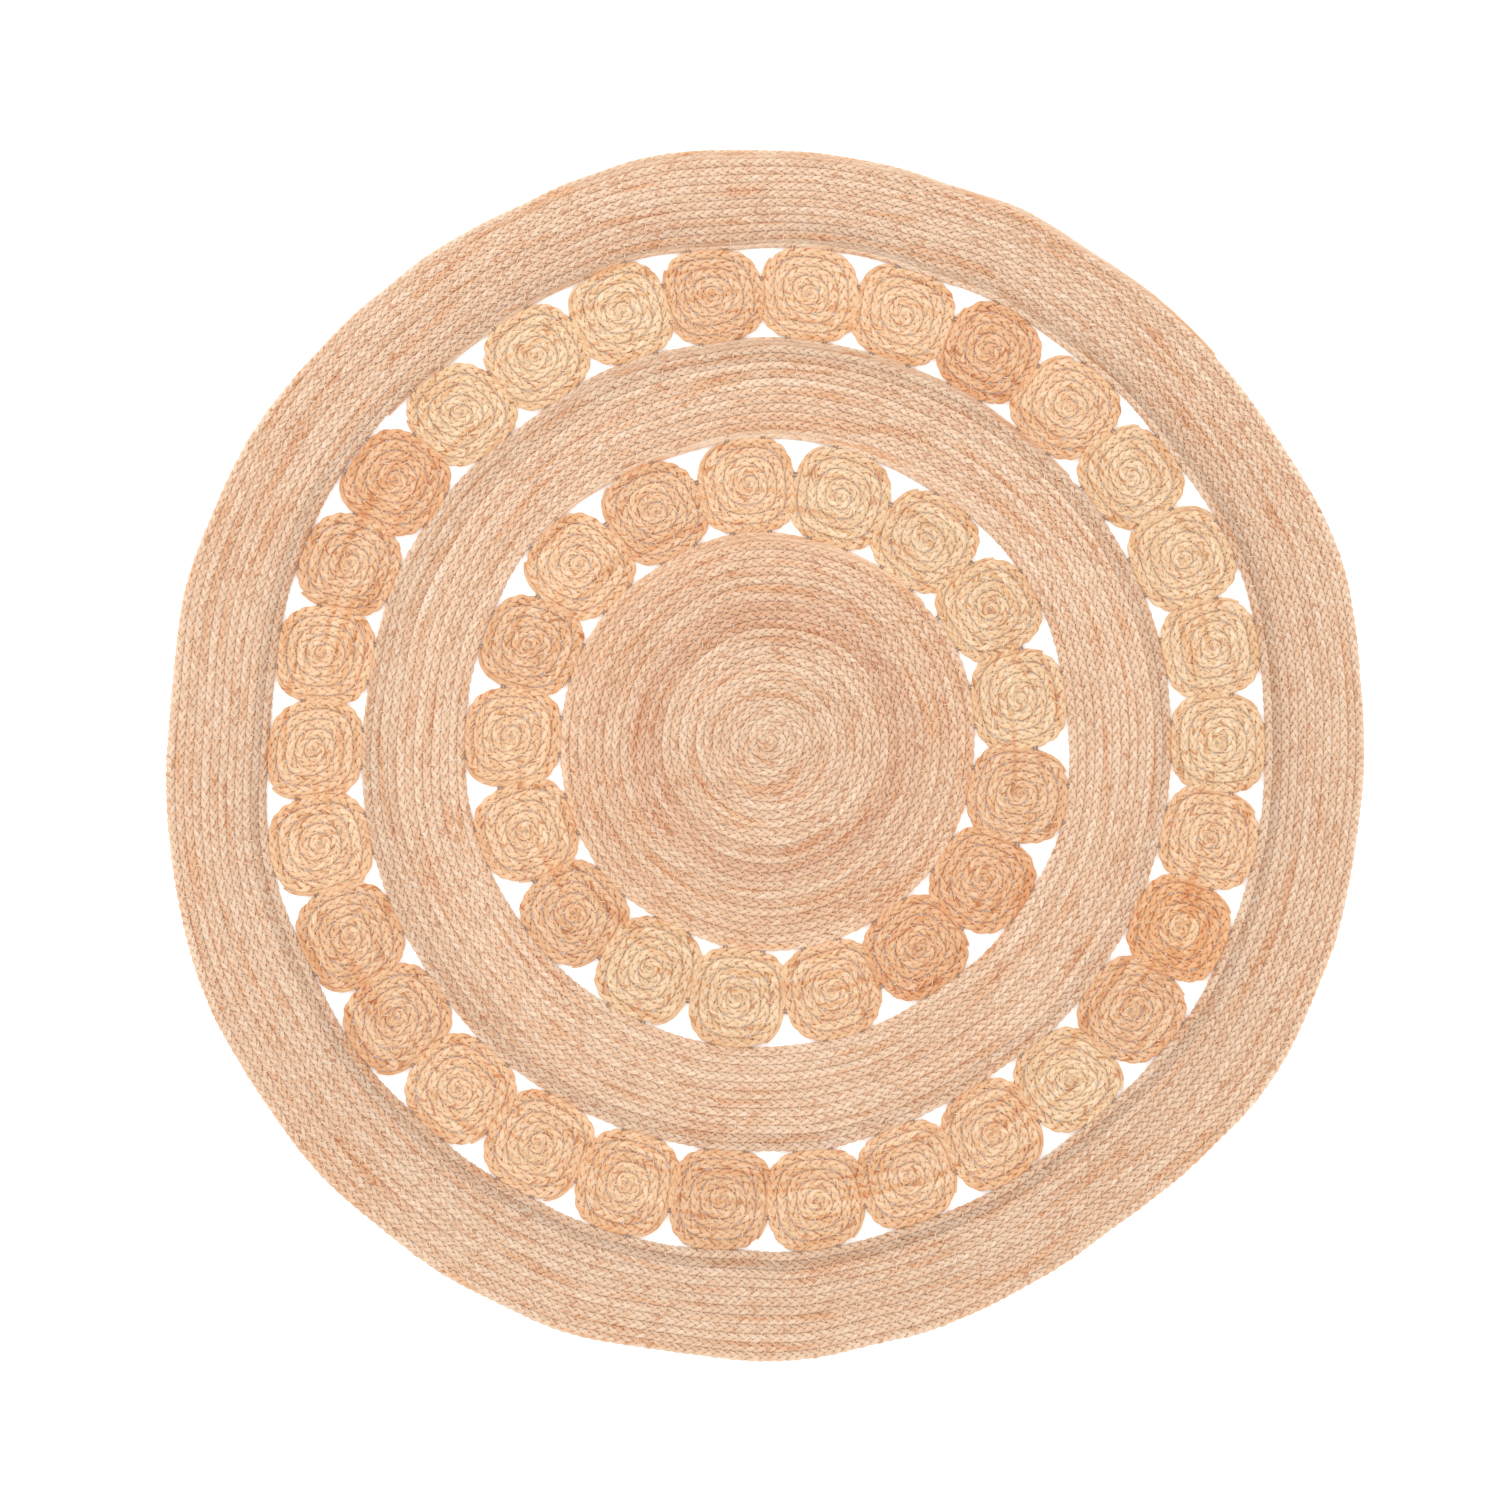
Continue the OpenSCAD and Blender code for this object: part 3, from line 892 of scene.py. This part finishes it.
class RUG_OT_sewing(bpy.types.Operator):
    """Sew every coil to itself"""

    bl_idname = "rug.sewing"
    bl_label = "Sewing"

    def execute(self, context):
        settings = context.scene.rug_sewing
        plait = context.scene.rug_plait
        material = fibre_material("jute_stitches", context.scene.rug_jute.strip, 3, (), 0.3, 0.0)
        space = settings.stitch_spacing
        strips = {
            "centre_disc_sewing": (CORE_R, DISC_R, plait.disc_turns),
            "middle_band_sewing": (MIDDLE_IN_R, MIDDLE_OUT_R, plait.band_turns),
            "outer_band_sewing": (OUTER_IN_R, OUTER_OUT_R, plait.band_turns),
        }
        grooves = {node: [((*coil, PLAIT_H), k, {}) for k in (0, 0.5)] for node, coil in strips.items()}
        grooves["inner_medallion_sewing"] = []
        grooves["outer_medallion_sewing"] = []
        for _, ring, _, middle, radius, turn in medallion_places():
            row = (medallion_coil(radius), 0, {"middle": middle, "turn": turn, "press": PRESS})
            grooves[ring + "_medallion_sewing"].append(row)
        for seed, (node, rows) in enumerate(grooves.items()):
            found = [groove_spots(coil, across, space, **where) for coil, across, where in rows]
            spots = np.concatenate([f[0] for f in found])
            slant = np.where(np.arange(len(spots)) % 2, STITCH_SLANT, -STITCH_SLANT)
            bearings = np.concatenate([f[1] for f in found]) + math.pi / 2 + slant
            level = PLAIT_H - STITCH_SUNK
            piece = threads(node + "_stitches", "jute_stitch", False, spots, bearings, level, {
                "Length": settings.stitch_length, "Drop": STITCH_DIP, "Thread": settings.thread,
                "Sides": 4, "Points": 3, "Seed": seed, "Material": material,
            })
            keep(piece, "jute_thread", node)
        return {"FINISHED"}


CONTACT = 0.44  # half the length of a contact, in medallion radii
LOOP_STEP = 3.2 * MM  # from one loop of a tie to the next
LOOP_LENGTH = 5.0 * MM  # of a loop, across the contact
LOOP_SUNK = 1.3 * MM  # under the top of the plaits, and as much over their underside
TIE_THREAD = 1.4  # thickness of a tie's thread, in stitch threads


class RUG_OT_ties(bpy.types.Operator):
    """Tie the medallions to each other and to the coils beside them"""

    bl_idname = "rug.ties"
    bl_label = "Ties"

    def execute(self, context):
        settings = context.scene.rug_sewing
        # Dark thread: real ties, and also painted shade in the corners of the holes where the pieces meet
        material = fibre_material("tie_thread_and_corner_shade", context.scene.rug_jute.thread, 3, (), 0.3, 0.0)
        places = {
            "centre_disc_ties": [], "middle_band_inner_ties": [], "middle_band_outer_ties": [],
            "outer_band_ties": [], "medallion_side_ties": [],
        }
        inward = {"inner": "centre_disc_ties", "outer": "middle_band_outer_ties"}
        outward = {"inner": "middle_band_inner_ties", "outer": "outer_band_ties"}
        counts = {"inner": len(INNER_NODES), "outer": len(OUTER_NODES)}
        for _, ring, _, middle, radius, _ in medallion_places():
            out = float(np.hypot(*middle))
            bearing = math.atan2(middle[1], middle[0])
            half = math.pi / counts[ring]
            reach = radius + SEAM / 2
            places[inward[ring]].append((out - reach, bearing, bearing))
            places[outward[ring]].append((out + reach, bearing, bearing))
            side = (out * math.cos(half), bearing + half, bearing + half + math.pi / 2)
            places["medallion_side_ties"].append(side)
        # The loops are near both ends of a contact, where the two pieces begin to part
        for seed, (node, rows) in enumerate(places.items()):
            spots, bearings = [], []
            for out, bearing, along in rows:
                for loop in range(settings.tie_loops):
                    aside = (CONTACT * INNER_R - (loop // 2) * LOOP_STEP) * (1 if loop % 2 else -1)
                    spots.append((
                        out * math.cos(bearing) - aside * math.sin(along),
                        out * math.sin(bearing) + aside * math.cos(along),
                    ))
                    bearings.append(along)
            piece = threads(node + "_loops", "jute_tie", True, spots, bearings, PLAIT_H / 2, {
                "Length": LOOP_LENGTH, "Drop": PLAIT_H / 2 - LOOP_SUNK,
                "Thread": settings.thread * TIE_THREAD,
                "Sides": 4, "Points": 12, "Seed": seed, "Material": material,
            })
            keep(piece, "jute_thread", node)
        return {"FINISHED"}


LAMPS = (  # name, place, size and power
    ("key", (-1.6, 1.9, 3.2), 1.6, 42.0),
    ("fill", (2.6, -1.2, 2.6), 2.4, 12.0),
)
SENSOR = 36.0  # width of the camera's sensor, in the millimetres that lenses are measured in
VIEW_MIDDLE = (-17 * MM, 3 * MM)


class RUG_OT_stage(bpy.types.Operator):
    """Set the floor, the light and the camera"""

    bl_idname = "rug.stage"
    bl_label = "Stage"

    def execute(self, context):
        settings = context.scene.rug_stage
        scene = context.scene
        half = settings.floor_size / 2
        mesh = bpy.data.meshes.new("floor")
        corners = [(-half, -half, 0), (half, -half, 0), (half, half, 0), (-half, half, 0)]
        mesh.from_pydata(corners, [], [(0, 1, 2, 3)])
        mesh.materials.append(plain_material("floor_white", (0.92, 0.92, 0.92), 0.28))
        floor = bpy.data.objects.new("floor", mesh)
        scene.collection.objects.link(floor)
        world = bpy.data.worlds.new("studio")
        world.use_nodes = True
        background = world.node_tree.nodes["Background"]
        background.inputs["Color"].default_value = (1.0, 1.0, 1.0, 1.0)
        background.inputs["Strength"].default_value = settings.daylight
        scene.world = world
        for name, place, size, power in LAMPS:
            light = bpy.data.lights.new(name, "AREA")
            light.size = size
            light.energy = power
            lamp = bpy.data.objects.new(name, light)
            lamp.location = place
            lamp.rotation_euler = (-Vector(place)).to_track_quat("-Z", "Y").to_euler()
            scene.collection.objects.link(lamp)
        lens = bpy.data.cameras.new("camera")
        lens.sensor_width = SENSOR
        lens.lens = SENSOR * settings.camera_height / settings.view_width
        camera = bpy.data.objects.new("camera", lens)
        camera.location = (*VIEW_MIDDLE, settings.camera_height)
        scene.collection.objects.link(camera)
        scene.camera = camera
        scene.view_settings.view_transform = "Standard"
        return {"FINISHED"}


class RUG_PT_sidebar(bpy.types.Panel):
    """The steps that build the rug, in order"""

    bl_idname = "RUG_PT_sidebar"
    bl_label = "Plaited jute rug"
    bl_space_type = "VIEW_3D"
    bl_region_type = "UI"
    bl_category = "Rug"

    def draw(self, context):
        for group in GROUPS:
            box = self.layout.box()
            for key in getattr(context.scene, group).__annotations__:
                box.prop(getattr(context.scene, group), key)
        for step in STEPS:
            self.layout.operator(step.bl_idname)


GROUPS = {
    "rug_plait": PlaitSettings, "rug_jute": JuteSettings, "rug_sewing": SewingSettings,
    "rug_stage": StageSettings,
}
STEPS = (
    RUG_OT_centre_disc, RUG_OT_bands, RUG_OT_medallions, RUG_OT_sewing, RUG_OT_ties, RUG_OT_stage,
)


def register():
    for kind in (*GROUPS.values(), *STEPS, RUG_PT_sidebar):
        bpy.utils.register_class(kind)
    for key, kind in GROUPS.items():
        setattr(bpy.types.Scene, key, bpy.props.PointerProperty(type=kind))


def unregister():
    for key in GROUPS:
        delattr(bpy.types.Scene, key)
    for kind in reversed((*GROUPS.values(), *STEPS, RUG_PT_sidebar)):
        bpy.utils.unregister_class(kind)


def main():
    """Builds everything."""
    register()
    bpy.ops.rug.centre_disc()
    bpy.ops.rug.bands()
    bpy.ops.rug.medallions()
    bpy.ops.rug.sewing()
    bpy.ops.rug.ties()
    bpy.ops.rug.stage()


if __name__ == "__main__":
    main()
